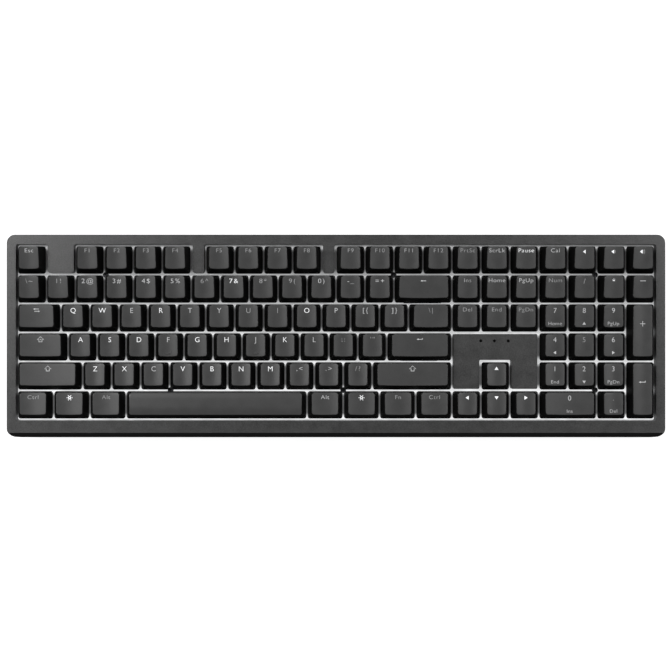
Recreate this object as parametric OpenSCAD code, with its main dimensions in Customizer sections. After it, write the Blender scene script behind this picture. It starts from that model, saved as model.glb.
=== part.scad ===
// Full-size mechanical keyboard with six close rows of keys, a steel switch plate
// lit from below, a two-shell case and two folding feet.
// X runs to the right, Y to the back and Z up. The origin is on the desk, under the
// middle of the case. Most inner parts are drawn on the deck: the top face of the
// switch plate, tilted towards the typist, with the middle of the key grid at its origin.

/* [Keys] */
// Distance between the centres of two neighbouring square keys
key_pitch = 19.05; // [18.5:0.05:19.5]
// Clear gap between the skirts of two neighbouring keycaps
cap_gap = 0.95; // [0.6:0.05:1.3]
// How far each side wall of a keycap leans in
cap_side_lean = 2.65; // [2:0.05:3]
// How far the front wall of a keycap leans in
cap_front_lean = 2.9; // [2.2:0.05:2.9]
// How far the back wall of a keycap leans in
cap_back_lean = 0.6; // [0.4:0.05:2]
// Wall thickness of a keycap
cap_wall = 1.3; // [1:0.1:1.4]
// Depth of the finger dish in a keycap
dish_depth = 0.8; // [0.4:0.1:1]
// Height of a keycap's skirt over the plate when the key is up
skirt_rise = 6; // [5.8:0.1:6.3]
// Full travel of a key
key_travel = 4; // [3:0.5:4]

/* [Case] */
// Width of the case
case_w = 433; // [431:1:440]
// Depth of the case at the desk
case_d = 132.3; // [132:0.1:134]
// Corner radius of the case seen from above
case_corner = 5.5; // [4:0.5:8]
// Tilt of the deck towards the typist
deck_tilt = 5.5; // [4:0.5:6]
// Height of the middle of the plate's top face over the desk
deck_z = 17.6; // [17:0.1:20]
// Distance from the middle of the case to the middle of the key grid
deck_y = 2.75; // [2:0.05:3.5]
// Height of the case's top surface over the plate
rim_rise = 7; // [6:0.5:8]
// How far the nose of the case slopes back up to its top surface
nose_run = 3; // [1:0.1:4]
// Wall thickness of the case
case_wall = 2.5; // [2:0.1:2.8]
// Gap between the key grid and the edge of the case around it
grid_margin = 1; // [0.8:0.1:1.2]

/* [Feet] */
// Height of the rubber pads below the case
pad_rise = 1; // [0.8:0.1:1.5]
// Distance of each folding foot's middle from the middle of the case
foot_x = 178; // [150:1:185]
// Length of a folding foot from its hinge pin to its tip
foot_length = 14; // [12:1:18]
// Width of a folding foot
foot_w = 26; // [20:1:30]

/* [Hidden] */
case_grey = [0.27, 0.27, 0.28];
cap_grey = [0.25, 0.25, 0.26];

// The layout: each row lists [node, width in pitches, height in rows], and a gap has no node
function same(name, count) = [for (i = [1:count]) [name, 1, 1]];
function letters(word) = [for (c = word) [str("key_", c), 1, 1]];
function gap(width) = [["", width, 1]];
ROWS = [
    concat([["escape_key", 1, 1]], gap(1), same("function_keys", 4), gap(0.5),
        same("function_keys", 4), gap(0.5), same("function_keys", 4),
        same("navigation_keys", 3), same("media_keys", 4)),
    concat(same("number_keys", 13), [["backspace_key", 2, 1]],
        same("navigation_keys", 3), same("numpad_keys", 4)),
    concat([["modifier_keys", 1.5, 1]], letters("qwertyuiop"), same("punctuation_keys", 2),
        [["punctuation_keys", 1.5, 1]], same("navigation_keys", 3),
        same("numpad_keys", 3), [["numpad_keys", 1, 2]]),
    concat([["modifier_keys", 1.75, 1]], letters("asdfghjkl"), same("punctuation_keys", 2),
        [["enter_key", 2.25, 1]], gap(3), same("numpad_keys", 3)),
    concat([["modifier_keys", 2.25, 1]], letters("zxcvbnm"), same("punctuation_keys", 3),
        [["modifier_keys", 2.75, 1]], gap(1), same("arrow_keys", 1), gap(1),
        same("numpad_keys", 3), [["numpad_keys", 1, 2]]),
    concat([for (i = [1:3]) ["modifier_keys", 1.25, 1]], [["space_bar", 6.25, 1]],
        [for (i = [1:4]) ["modifier_keys", 1.25, 1]], same("arrow_keys", 3),
        [["numpad_keys", 2, 1]], same("numpad_keys", 1)),
];
columns = 22;
rows = len(ROWS);
function width_before(row, i) = i == 0 ? 0 : row[i - 1][1] + width_before(row, i - 1);

// Every key as [node, x of its middle, y of its middle, row, width, height], on the deck
KEYS = [for (r = [0:rows - 1]) for (i = [0:len(ROWS[r]) - 1])
    let (k = ROWS[r][i]) if (k[0] != "") [
        k[0],
        column_x(width_before(ROWS[r], i) + k[1] / 2),
        row_y(r + k[2] / 2),
        r, k[1], k[2]]];
function column_x(column) = (column - columns / 2) * key_pitch;
function row_y(row) = (rows / 2 - row) * key_pitch;

KEY_NODES = concat(
    [for (c = "abcdefghijklmnopqrstuvwxyz") str("key_", c)],
    ["space_bar", "enter_key", "backspace_key", "escape_key", "number_keys",
     "punctuation_keys", "modifier_keys", "function_keys", "navigation_keys",
     "media_keys", "arrow_keys", "numpad_keys"]);

// Front and back heights of the keycaps in each row, over their skirts
CAP_HEIGHTS = [[8.6, 10], [8.6, 9.8], [8, 8.8], [7.8, 8.2], [8.2, 7.9], [8.6, 8.2]];
// Places of the stabilisers either side of a wide key's switch
function stabiliser_reach(width) = width < 3 ? 11.9 : 50;

// Heights over the plate's top face, shared by the parts of a switch
board_top = -5;
board_t = 1.6;
plate_t = 1.5;
flange_t = 1.2;
cover_top = 6.6;
slider_top = 6.3;
cross_top = 9.9;
slider_bottom = 1.6;
well_floor = -4;
spring_top = 5;

// Case values
nose_z = 15;
nose_rise = 3.8;
nose_angle = atan(nose_run / nose_rise);
case_reach = 60;
roof_t = 2.4;
seam_w = -5.5;
lap_t = 1.1;
lap_h = 1.6;
floor_t = 2.2;
lip_t = 1.6;
plate_margin = 1.4;
opening_corner = 1.6;
PLATE_SCREWS = [[3, 1], [13, 1], [20, 1], [5.25, 5], [11.25, 5], [20, 5]];
COVER_SCREWS = [15.5, 17.5];
plate_screw_l = 9.5;
TAB_GAPS = [[1, 2], [6, 6.5], [10.5, 11]];
INDICATORS = [for (i = [-1:1]) [column_x(16.47) + 9.05 * i, row_y(3) - 5.5]];
CASE_SCREW_X = [-200, -70, 70, 200];
case_screw_y = -58.9;
HOOK_X = [-195, -98, 0, 98, 195];
hook_w = 9;
hook_y = 62.3;
hook_t = 1.2;
hook_bottom = 11;
hook_root = 24;
barb_h = 1.6;
barb_reach = 0.9;
big = 500;

// Rubber pads as [x, y, width, depth], and how deep they sit in the floor
PADS = [[-175, -54, 40, 9], [175, -54, 40, 9], [-130, 54, 24, 9], [130, 54, 24, 9]];
pad_seat = 0.5;

// Screws: thread and head radii, and the hole that a thread bites into
thread_r = 0.88;
bite_r = 0.9;
head_r = 1.9;

// Indicator lamps behind small holes in the cover
indicator_r = 0.95;
lens_r = 0.8;
lens_top = 5.8;

// The socket on the underside of the board, facing back
port_x = column_x(17.5);
port_w = 9;
port_h = 3.3;
port_wall = 0.35;
port_back = 61.6;
port_top = board_top - board_t;
port_middle = port_top - port_h / 2;

// Places in a switch: its two contacts and the lamp behind its slider
contact_x = 5.2;
led_y = 5.3;

// Folding feet
foot_t = 3.6;
foot_axis_y = 55;
foot_axis_z = 3.2;
foot_pin_r = 1.5;
foot_pin_l = 1.6;
foot_gap = 0.5;
tip_t = 1.6;
pocket_roof = 6.4;

module on_deck() translate([0, deck_y, deck_z]) rotate([deck_tilt, 0, 0]) children();

// A box between two corners
module block(low, high) translate(low) cube(high - low);

// A box between two heights, centred on the Z axis
module post(w, d, low, high) translate([-w / 2, -d / 2, low]) cube([w, d, high - low]);

// A shape whose four sides lean: an intersection of two prisms with straight edges
module leaning_box(low_x, high_x, low_y, high_y, low, high) intersection() {
    rotate([90, 0, 0]) linear_extrude(big, center = true)
        polygon([[low_x[0], low], [low_x[1], low], [high_x[1], high], [high_x[0], high]]);
    rotate([90, 0, 90]) linear_extrude(big, center = true)
        polygon([[low_y[0], low], [low_y[1], low], [high_y[1], high], [high_y[0], high]]);
}

// Rounds every square corner of an outline with an arc
function unit(v) = v / norm(v);
function rounded(points, r, steps = 4) = [for (i = [0:len(points) - 1])
    let (n = len(points), b = points[i],
        u = unit(points[(i + n - 1) % n] - b),
        v = unit(points[(i + 1) % n] - b),
        centre = b + r * (u + v))
    for (s = [0:steps]) let (a = 90 * s / steps) centre - r * (v * cos(a) + u * sin(a))];

// The hole in the case around the keys, with tabs that fill the gaps in the top row
function opening_outline(grow) = let (
    x = columns / 2 * key_pitch + grid_margin + grow,
    y = rows / 2 * key_pitch + grid_margin + grow,
    tab_y = row_y(1) + grid_margin + grow)
    concat([[-x, -y], [x, -y], [x, y]],
        [for (i = [len(TAB_GAPS) - 1:-1:0])
            let (low = column_x(TAB_GAPS[i][0]) + grid_margin + grow,
                high = column_x(TAB_GAPS[i][1]) - grid_margin - grow)
            each [[high, y], [high, tab_y], [low, tab_y], [low, y]]],
        [[-x, y]]);

// The U-shaped cover that fills the space around the up-arrow key
function cover_outline(inset) = let (
    left = column_x(15) + grid_margin + inset,
    right = column_x(18) - grid_margin - inset,
    top = row_y(3) - grid_margin - inset,
    bottom = row_y(5) + grid_margin + inset,
    notch_left = column_x(16) - grid_margin - inset,
    notch_right = column_x(17) + grid_margin + inset,
    notch_top = row_y(4) + grid_margin + inset)
    [[left, bottom], [notch_left, bottom], [notch_left, notch_top],
     [notch_right, notch_top], [notch_right, bottom], [right, bottom],
     [right, top], [left, top]];

// The case's outline seen from above, set in by a distance
module case_plan(inset) {
    r = case_corner - inset;
    x = case_w / 2 - inset;
    y = case_d / 2 - inset;
    square([2 * x, 2 * (y - r)], center = true);
    square([2 * (x - r), 2 * y], center = true);
    for (side = [-1, 1], end = [-1, 1])
        translate([side * (x - r), end * (y - r)]) circle(r, $fn = 48);
}

// The case's outer form, set in by a distance, between two heights over the deck: an
// upright block with round corners, cut off along the front by the sloping nose
module case_block(inset, low, high, floor_z = pad_rise) intersection() {
    translate([0, 0, floor_z]) linear_extrude(case_reach) case_plan(inset);
    translate([0, -case_d / 2, nose_z]) rotate([-nose_angle, 0, 0])
        block([-big / 2, inset, -big / 2], [big / 2, big, big / 2]);
    on_deck() block([-big / 2, -100, low], [big / 2, 100, high]);
}

module at_case_screws() for (x = CASE_SCREW_X) translate([x, case_screw_y, 0]) children();

// A snap hook on the back wall of the top case, grown by a clearance for its window
module snap_barb(x, clearance) block(
    [x - hook_w / 2 - clearance, hook_y, hook_bottom - clearance],
    [x + hook_w / 2 + clearance, hook_y + hook_t + barb_reach + clearance,
        hook_bottom + barb_h + clearance]);

// The tongue that carries a hook's barb, up to a height
module hook_tongue(x, top)
    block([x - hook_w / 2, hook_y, hook_bottom], [x + hook_w / 2, hook_y + hook_t, top]);

// ---- Case ----

module top_case() color(case_grey) difference() {
    union() {
        case_block(0, seam_w, rim_rise);
        for (x = HOOK_X) {
            hook_tongue(x, hook_root);
            snap_barb(x, 0);
        }
    }
    difference() {
        union() {
            case_block(case_wall, -40, rim_rise - roof_t, pad_rise - 1);
            case_block(lap_t, -40, seam_w + lap_h, pad_rise - 1);
        }
        on_deck() translate([0, 0, 0.2]) linear_extrude(rim_rise)
            polygon(opening_outline(lip_t));
        at_case_screws() translate([0, 0, 6]) cylinder(r = 2, h = 40, $fn = 32);
        for (x = HOOK_X) {
            hook_tongue(x, case_reach);
            snap_barb(x, 0);
        }
    }
    on_deck() translate([0, 0, -1]) linear_extrude(rim_rise + 2)
        polygon(rounded(opening_outline(0), opening_corner));
    at_case_screws() translate([0, 0, 5]) cylinder(r = bite_r, h = 8, $fn = 24);
}

module bottom_case() color(case_grey * 0.8) difference() {
    union() {
        difference() {
            union() {
                case_block(0, -40, seam_w - 0.3);
                case_block(lap_t + 0.1, -40, seam_w + lap_h - 0.2);
            }
            case_block(case_wall, -40, 20, pad_rise + floor_t);
        }
        at_case_screws() translate([0, 0, pad_rise]) cylinder(r = 3.1, h = 4.6, $fn = 32);
        for (side = [-1, 1]) foot_pocket(side, 1.5, pad_rise);
        intersection() {
            on_deck() for (s = PLATE_SCREWS)
                translate([column_x(s[0]), row_y(s[1]), -40])
                    cylinder(r = 2.6, h = 40 + board_top - board_t, $fn = 32);
            case_block(0.5, -40, 0);
        }
    }
    at_case_screws() {
        cylinder(r = 1.3, h = 8, $fn = 24);
        cylinder(r = 2.4, h = pad_rise + 1.8, $fn = 32);
    }
    for (side = [-1, 1]) {
        foot_pocket(side, 0, -1);
        foot_pin(side, foot_pin_r + 0.06, foot_pin_l + 0.2);
    }
    for (x = HOOK_X) snap_barb(x, 0.2);
    on_deck() for (s = PLATE_SCREWS)
        translate([column_x(s[0]), row_y(s[1]), -plate_screw_l - 0.5])
            cylinder(r = bite_r, h = 6, $fn = 24);
    for (p = PADS) translate([p[0], p[1], 0])
        post(p[2] + 0.2, p[3] + 0.2, 0, pad_rise + pad_seat);
    on_deck() port_opening();
}

// The hollow that a folded foot lies in, grown by a wall, from a height up
module foot_pocket(side, wall, low) {
    half = foot_w / 2 + foot_gap + wall;
    front = foot_axis_y - foot_length - tip_t - foot_gap - wall;
    back = foot_axis_y + foot_t / 2 + foot_gap + wall;
    block([side * foot_x - half, front, low], [side * foot_x + half, back, pocket_roof + wall]);
}

module foot_pin(side, r, reach) translate([side * foot_x, foot_axis_y, foot_axis_z])
    rotate([0, 90, 0]) cylinder(r = r, h = foot_w + 2 * reach, center = true, $fn = 32);

// Folding foot: a round heel on the pin, a flat blade and a finger notch at its side
module folding_foot(side) color(case_grey * 0.7) union() {
    difference() {
        union() {
            translate([side * foot_x, foot_axis_y, foot_axis_z]) rotate([0, 90, 0])
                cylinder(r = foot_t / 2, h = foot_w, center = true, $fn = 32);
            block([side * foot_x - foot_w / 2, foot_axis_y - foot_length, foot_axis_z - foot_t / 2],
                [side * foot_x + foot_w / 2, foot_axis_y, foot_axis_z + foot_t / 2]);
        }
        block([side * foot_x - foot_w / 2 + 4, foot_axis_y - foot_length + 4, foot_axis_z - 0.2],
            [side * foot_x + foot_w / 2 - 4, foot_axis_y - 4, foot_axis_z + foot_t]);
    }
    foot_pin(side, foot_pin_r, foot_pin_l);
}
module foot_left() folding_foot(-1);
module foot_right() folding_foot(1);

module foot_tip(side) color([0.08, 0.08, 0.08])
    block([side * foot_x - foot_w / 2 + 1, foot_axis_y - foot_length - tip_t, foot_axis_z - 1.5],
        [side * foot_x + foot_w / 2 - 1, foot_axis_y - foot_length, foot_axis_z + 1.5]);
module foot_tip_left() foot_tip(-1);
module foot_tip_right() foot_tip(1);

module rubber_pads() color([0.08, 0.08, 0.08])
    for (p = PADS) translate([p[0], p[1], 0]) post(p[2], p[3], 0, pad_rise + pad_seat);

module case_screws() color("silver") at_case_screws() difference() {
    union() {
        translate([0, 0, pad_rise + 0.5]) cylinder(r = 2.1, h = 1.3, $fn = 32);
        translate([0, 0, pad_rise + 1.7]) cylinder(r = thread_r, h = 8, $fn = 24);
    }
    for (a = [0, 90]) rotate([0, 0, a]) post(2.4, 0.6, pad_rise, pad_rise + 1.2);
}

// ---- Plate and board ----

module plate_outline(margin) square([columns * key_pitch + 2 * margin,
    rows * key_pitch + 2 * margin], center = true);

module switch_plate() color([0.93, 0.93, 0.94]) on_deck() translate([0, 0, -plate_t])
    linear_extrude(plate_t) difference() {
        plate_outline(plate_margin);
        for (k = KEYS) translate([k[1], k[2]]) square(14, center = true);
        at_stabilisers() square([6.6, 12.6], center = true);
        for (s = PLATE_SCREWS) translate([column_x(s[0]), row_y(s[1])]) circle(1.3, $fn = 24);
        for (x = COVER_SCREWS) translate([column_x(x), row_y(4.5)]) circle(1.2, $fn = 24);
        for (p = INDICATORS) translate(p) circle(1.7, $fn = 24);
    }

module circuit_board() color([0.06, 0.22, 0.13]) on_deck()
    translate([0, 0, board_top - board_t]) linear_extrude(board_t) difference() {
        plate_outline(0.8);
        for (k = KEYS) translate([k[1], k[2]]) {
            circle(2.05, $fn = 24);
            for (side = [-1, 1]) translate([side * contact_x, 0])
                square([0.7, 1.2], center = true);
        }
        for (s = PLATE_SCREWS) translate([column_x(s[0]), row_y(s[1])]) circle(1.3, $fn = 24);
    }

module controller_chips() color([0.05, 0.05, 0.06]) on_deck() {
    for (x = [column_x(17.5), column_x(10.5)])
        translate([x, row_y(3), 0]) post(7, 7, board_top - board_t - 1.1, board_top - board_t);
    translate([column_x(14), row_y(1), 0]) post(5, 4, board_top - board_t - 1.4, board_top - board_t);
}

// The socket: a steel shell with a tongue inside
module usb_port() color("silver") on_deck() {
    difference() {
        block([port_x - port_w / 2, port_back - 7.5, port_top - port_h],
            [port_x + port_w / 2, port_back, port_top]);
        block([port_x - port_w / 2 + port_wall, port_back - 6.5, port_top - port_h + port_wall],
            [port_x + port_w / 2 - port_wall, port_back + 1, port_top - port_wall]);
    }
    block([port_x - 3.3, port_back - 6.7, port_middle - 0.35],
        [port_x + 3.3, port_back - 1.2, port_middle + 0.35]);
}
module port_opening() block([port_x - 6.4, port_back - 3, port_middle - 2.2],
    [port_x + 6.4, port_back + 12, port_middle + 2.2]);

module plate_screws() color("silver") on_deck() {
    for (s = PLATE_SCREWS) translate([column_x(s[0]), row_y(s[1]), 0]) {
        cylinder(r = head_r, h = 1.1, $fn = 32);
        translate([0, 0, -plate_screw_l])
            cylinder(r = thread_r, h = plate_screw_l + 0.5, $fn = 24);
    }
    for (x = COVER_SCREWS) translate([column_x(x), row_y(4.5), 0]) {
        translate([0, 0, -plate_t - 1.1]) cylinder(r = head_r, h = 1.1, $fn = 32);
        translate([0, 0, -plate_t - 0.5]) cylinder(r = thread_r, h = 5, $fn = 24);
    }
}

module indicator_cover() color(case_grey) on_deck() difference() {
    linear_extrude(rim_rise) polygon(rounded(cover_outline(0), 0.8));
    difference() {
        translate([0, 0, -1]) linear_extrude(rim_rise - 1)
            polygon(rounded(cover_outline(1.8), 0.5));
        for (x = COVER_SCREWS) translate([column_x(x), row_y(4.5), 0])
            cylinder(r = 2.4, h = rim_rise, $fn = 32);
    }
    for (x = COVER_SCREWS) translate([column_x(x), row_y(4.5), -1])
        cylinder(r = bite_r, h = 5, $fn = 24);
    for (p = INDICATORS) translate([p[0], p[1], 0])
        cylinder(r = indicator_r, h = rim_rise + 1, $fn = 24);
}

module indicator_leds() color([0.9, 0.9, 0.8]) on_deck() for (p = INDICATORS) translate(p) {
    translate([0, 0, board_top]) cylinder(r = 1.5, h = 9.5, $fn = 24);
    translate([0, 0, board_top]) cylinder(r = lens_r, h = lens_top - board_top, $fn = 24);
}

// ---- Switches ----

module at_keys() on_deck() for (k = KEYS) translate([k[1], k[2], 0]) children();

module switch_bases() color([0.1, 0.1, 0.11]) at_keys() difference() {
    union() {
        post(13.8, 13.8, board_top, 0.1);
        post(15.6, 15.6, 0, flange_t);
        translate([0, 0, -8]) cylinder(r = 1.95, h = 8, $fn = 24);
    }
    block([-4.5, -3.8, well_floor], [4.5, 3.8, 2]);
    for (side = [-1, 1]) translate([side * contact_x, 0, 0]) post(0.6, 2.8, -6, 2);
    translate([0, led_y, 0]) post(3.6, 2.4, -6, 2);
}

module switch_covers() color([0.85, 0.85, 0.83]) at_keys() difference() {
    leaning_box([-7.5, 7.5], [-5.5, 5.5], [-7.5, 7.5], [-5.5, 5.5], flange_t, cover_top);
    leaning_box([-6.3, 6.3], [-4.8, 4.8], [-6.3, 6.3], [-4.8, 4.8], flange_t - 0.1, 5.6);
    post(7.6, 6.4, 5, 8);
    block([-1.8, 4.1, 1], [1.8, 9, 8]);
}

module switch_springs() color("silver") at_keys() difference() {
    translate([0, 0, well_floor]) cylinder(r = 2.15, h = spring_top - well_floor, $fn = 24);
    translate([0, 0, well_floor - 1]) cylinder(r = 1.8, h = 12, $fn = 24);
}

module switch_contacts() color([0.85, 0.62, 0.3]) at_keys()
    for (side = [-1, 1]) translate([side * contact_x, 0, 0]) post(0.3, 1, -8, 1);

module backlight_leds() color([0.95, 0.95, 0.85]) at_keys()
    translate([0, led_y, 0]) post(3.2, 2, board_top, board_top + 1.2);

// A slider: a skirt that the spring pushes up, a neck, and the cross that holds the cap
module slider() difference() {
    union() {
        post(8.6, 7, slider_bottom, 5.5);
        post(7, 5.6, 5.4, slider_top);
        cross(4, 1.25, slider_top - 0.1, cross_top);
    }
    translate([0, 0, slider_bottom - 1])
        cylinder(r = 2.45, h = spring_top - slider_bottom + 1, $fn = 24);
}
module cross(arm, t, low, high) {
    post(arm, t, low, high);
    post(t, arm, low, high);
}

// ---- Stabilisers under the wide and the tall keys ----

function needs_stabiliser(k) = max(k[4], k[5]) >= 2;
module along_key(k) translate([k[1], k[2]]) rotate([0, 0, k[5] > 1 ? 90 : 0]) children();
module at_stabilisers() for (k = KEYS) if (needs_stabiliser(k)) along_key(k)
    for (side = [-1, 1]) translate([side * stabiliser_reach(k[4]), 0]) children();

module stabiliser_housings() color([0.1, 0.1, 0.11]) on_deck() at_stabilisers() difference() {
    union() {
        post(6.4, 12.4, board_top + 0.4, 2.1);
        post(7.6, 12.4, 0, 0.8);
    }
    post(4.6, 7.8, board_top + 1.2, 3);
}

module stabiliser_wires() color("silver") on_deck() for (k = KEYS) if (needs_stabiliser(k))
    along_key(k) translate([0, -8.6, 0.85]) {
        reach = stabiliser_reach(k[4]);
        rotate([0, 90, 0]) cylinder(r = 0.75, h = 2 * reach, center = true, $fn = 16);
        for (side = [-1, 1]) translate([side * reach, 0, 0]) {
            rotate([-90, 0, 0]) cylinder(r = 0.75, h = 2.3, $fn = 16);
            sphere(r = 0.75, $fn = 16);
        }
    }
module stabiliser_slider() {
    post(4.2, 7.4, board_top + 1.4 + key_travel, slider_top);
    cross(4, 1.25, slider_top - 0.1, cross_top);
}

// ---- Keys ----

// A keycap of a width and height in pitches, with the slopes of its row
module keycap(width, height, row) {
    front_h = CAP_HEIGHTS[row][0];
    back_h = CAP_HEIGHTS[row][1];
    x = (width * key_pitch - cap_gap) / 2;
    y = (height * key_pitch - cap_gap) / 2;
    ceiling = min(front_h, back_h) - 1.6;
    difference() {
        union() {
            difference() {
                cap_form(x, y, front_h, back_h, 0);
                cap_form(x, y, ceiling, ceiling, cap_wall);
            }
            for (p = cap_posts(width, height)) translate([p[0], p[1], slider_top - skirt_rise + 0.05])
                cylinder(r = 2.75, h = ceiling - 0.1, $fn = 24);
        }
        if (width < 6) dish(x - cap_side_lean, y, front_h, back_h);
        else cylinder_crown(y, front_h);
        for (p = cap_posts(width, height)) translate(p)
            cross(4.1, 1.35, -1, cross_top - skirt_rise + 0.1);
    }
}
function cap_posts(width, height) = let (reach = stabiliser_reach(width))
    height > 1 ? [[0, 0], [0, -reach], [0, reach]]
    : width >= 2 ? [[0, 0], [-reach, 0], [reach, 0]]
    : [[0, 0]];

// The leaning outer form of a keycap, or the hollow inside it when wall is set
module cap_form(x, y, front_h, back_h, wall) intersection() {
    tall = max(front_h, back_h);
    low = wall > 0 ? -1 : 0;
    rotate([90, 0, 0]) linear_extrude(big, center = true)
        polygon([[wall - x, low], [x - wall, low],
            [x - wall - cap_side_lean, tall], [wall - x + cap_side_lean, tall]]);
    rotate([90, 0, 90]) linear_extrude(big, center = true)
        polygon([[wall - y, low], [y - wall, low],
            [y - wall - cap_back_lean, back_h], [wall - y + cap_front_lean, front_h]]);
}

// The finger dish: a cylinder that follows the slope of the top face
module dish(half_top, y, front_h, back_h) {
    chord = half_top - 0.35;
    r = (chord * chord + dish_depth * dish_depth) / (2 * dish_depth);
    run = 2 * y - cap_front_lean - cap_back_lean;
    slope = atan((back_h - front_h) / run);
    middle = (cap_front_lean - cap_back_lean) / 2;
    translate([0, middle, (front_h + back_h) / 2]) rotate([slope, 0, 0])
        translate([0, 0, r - dish_depth]) rotate([90, 0, 0])
            cylinder(r = r, h = 3 * y, center = true, $fn = 360);
}

// Rounds the top of the space bar from front to back
module cylinder_crown(y, front_h) {
    r = 34;
    translate([0, (cap_front_lean - cap_back_lean) / 2, front_h - r]) difference() {
        block([-big / 2, -2 * y, r - 3], [big / 2, 2 * y, r + 5]);
        rotate([0, 90, 0]) cylinder(r = r, h = 2 * big, center = true, $fn = 180);
    }
}

// All the keys of one node, each with its slider and its stabiliser sliders
module keys_of(name) color(cap_grey) on_deck() for (k = KEYS) if (k[0] == name) {
    translate([k[1], k[2], skirt_rise]) {
        keycap(k[4], k[5], k[3]);
        if (name == "key_f" || name == "key_j") homing_bar(k[3]);
    }
    translate([k[1], k[2], 0]) slider();
    if (needs_stabiliser(k)) along_key(k) for (side = [-1, 1])
        translate([side * stabiliser_reach(k[4]), 0, 0]) stabiliser_slider();
}

module homing_bar(row) translate([0, -4.2, CAP_HEIGHTS[row][0] - dish_depth + 0.05])
    rotate([0, 90, 0]) cylinder(r = 0.45, h = 4, center = true, $fn = 24);

top_case();
bottom_case();
switch_plate();
circuit_board();
switch_bases();
switch_covers();
switch_springs();
switch_contacts();
backlight_leds();
stabiliser_housings();
stabiliser_wires();
indicator_cover();
indicator_leds();
controller_chips();
usb_port();
case_screws();
plate_screws();
rubber_pads();
foot_left();
foot_right();
foot_tip_left();
foot_tip_right();
for (name = KEY_NODES) keys_of(name);
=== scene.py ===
# %% [markdown]
# # A full-size mechanical keyboard
#
# The design model gives every part of the keyboard in its place: two case shells, a white
# steel plate, a circuit board, the switches, the keys and two folding feet. This lesson
# gives those parts their looks. Parts whose shape is right keep it and get a finish. Parts
# with edges or forms that were kept plain for the design, such as the keycaps, are built
# again here, finer, in the same place, and ride on the same body.

# %% Load the keyboard
import math

import bmesh
import bpy
import numpy as np
from mathutils import Matrix, Vector


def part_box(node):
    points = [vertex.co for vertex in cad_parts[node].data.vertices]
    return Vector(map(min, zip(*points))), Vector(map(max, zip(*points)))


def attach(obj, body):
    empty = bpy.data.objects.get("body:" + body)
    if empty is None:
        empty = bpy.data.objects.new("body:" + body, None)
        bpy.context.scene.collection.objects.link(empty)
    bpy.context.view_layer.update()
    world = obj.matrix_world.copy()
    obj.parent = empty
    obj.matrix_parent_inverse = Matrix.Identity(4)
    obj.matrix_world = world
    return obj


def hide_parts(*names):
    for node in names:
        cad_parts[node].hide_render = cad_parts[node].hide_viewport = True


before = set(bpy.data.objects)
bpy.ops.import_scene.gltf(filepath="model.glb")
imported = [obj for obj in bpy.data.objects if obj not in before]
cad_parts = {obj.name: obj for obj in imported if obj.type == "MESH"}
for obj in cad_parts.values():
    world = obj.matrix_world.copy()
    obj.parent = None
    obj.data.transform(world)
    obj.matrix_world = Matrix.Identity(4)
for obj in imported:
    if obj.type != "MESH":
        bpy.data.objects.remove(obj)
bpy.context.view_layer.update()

# %% [markdown]
# ## The deck
#
# A keyboard is laid out on its plate, which is tilted towards the typist. It is easiest to
# think in millimetres on that plate: across to the right, up towards the back row, and out
# of the plate. One matrix turns such a point into the room's metres. The same matrix
# places the keys, the legends, the camera and the patterns in the plate's finish.

# %% The deck matrix and the key pitch
MM = 0.001
DECK_TILT = math.radians(5.5)
DECK_MIDDLE = (0, 2.75 * MM, 17.6 * MM)
PITCH = 19.05
COLUMNS, ROWS = 22, 6
PLATE_MARGIN = 1.4
deck = (Matrix.Translation(DECK_MIDDLE)
        @ Matrix.Rotation(DECK_TILT, 4, "X") @ Matrix.Scale(MM, 4))
to_deck = deck.inverted()
deck_normal = (deck.to_3x3() @ Vector((0, 0, 1))).normalized()


def column_x(column):
    return (column - COLUMNS / 2) * PITCH


def row_y(row):
    return (ROWS / 2 - row) * PITCH


plate_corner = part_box("switch_plate")[1]
corner = deck @ Vector((column_x(COLUMNS) + PLATE_MARGIN, row_y(0) + PLATE_MARGIN, 0))
print("plate corner differs by", round((corner.x - plate_corner.x) / MM, 3), "and",
      round((corner.z - plate_corner.z) / MM, 3), "mm")

# %% [markdown]
# ## Camera
#
# The keyboard is seen straight down on its deck, from less than a metre, so that the left
# and right walls of the keycaps show more and more towards the ends. The camera looks
# along the deck's normal, which keeps the keyboard's edges parallel.

# %% Camera
scene = bpy.context.scene
EYE = Vector((0, -2.3, 866))


def new_object(name, data):
    made = bpy.data.objects.new(name, data)
    scene.collection.objects.link(made)
    return made


camera = new_object("camera", bpy.data.cameras.new("camera"))
camera.location = deck @ EYE
camera.rotation_euler = (DECK_TILT, 0, 0)
camera.data.sensor_width = 36
camera.data.lens = 70
scene.camera = camera
scene.view_settings.view_transform = "Standard"
print("camera at", [round(c, 3) for c in camera.location])

# %% [markdown]
# ## Shader helpers
#
# Blender builds a finish from nodes. Writing each node, link and value by hand takes many
# lines, so small helpers do it. `feed` gives a socket its value, which may be a number, a
# colour or another node's output. `fill` feeds several sockets of a node by their names,
# with an underscore for each space, and `add` makes a node and fills it. The others are
# the steps that come up again and again.

# %% Shader helpers
def feed(tree, socket, value):
    if isinstance(value, bpy.types.NodeSocket):
        tree.links.new(value, socket)
    else:
        socket.default_value = value


def fill(tree, node, **sockets):
    for name, value in sockets.items():
        feed(tree, node.inputs[name.replace("_", " ")], value)
    return node


def add(tree, kind, settings=None, **sockets):
    made = tree.nodes.new("ShaderNode" + kind)
    for name, value in (settings or {}).items():
        setattr(made, name, value)
    return fill(tree, made, **sockets)


def mathematics(tree, operation, *values):
    made = add(tree, "Math", {"operation": operation})
    for socket, value in zip(made.inputs, values):
        feed(tree, socket, value)
    return made.outputs[0]


def product(tree, first, *others):
    for other in others:
        first = mathematics(tree, "MULTIPLY", first, other)
    return first


def remap(tree, value, low, high, to_low=0.0, to_high=1.0, curve="LINEAR"):
    """Moves a value's range onto another one, and holds it at the ends."""
    return add(tree, "MapRange", {"interpolation_type": curve}, Value=value, From_Min=low,
               From_Max=high, To_Min=to_low, To_Max=to_high).outputs["Result"]


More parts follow.
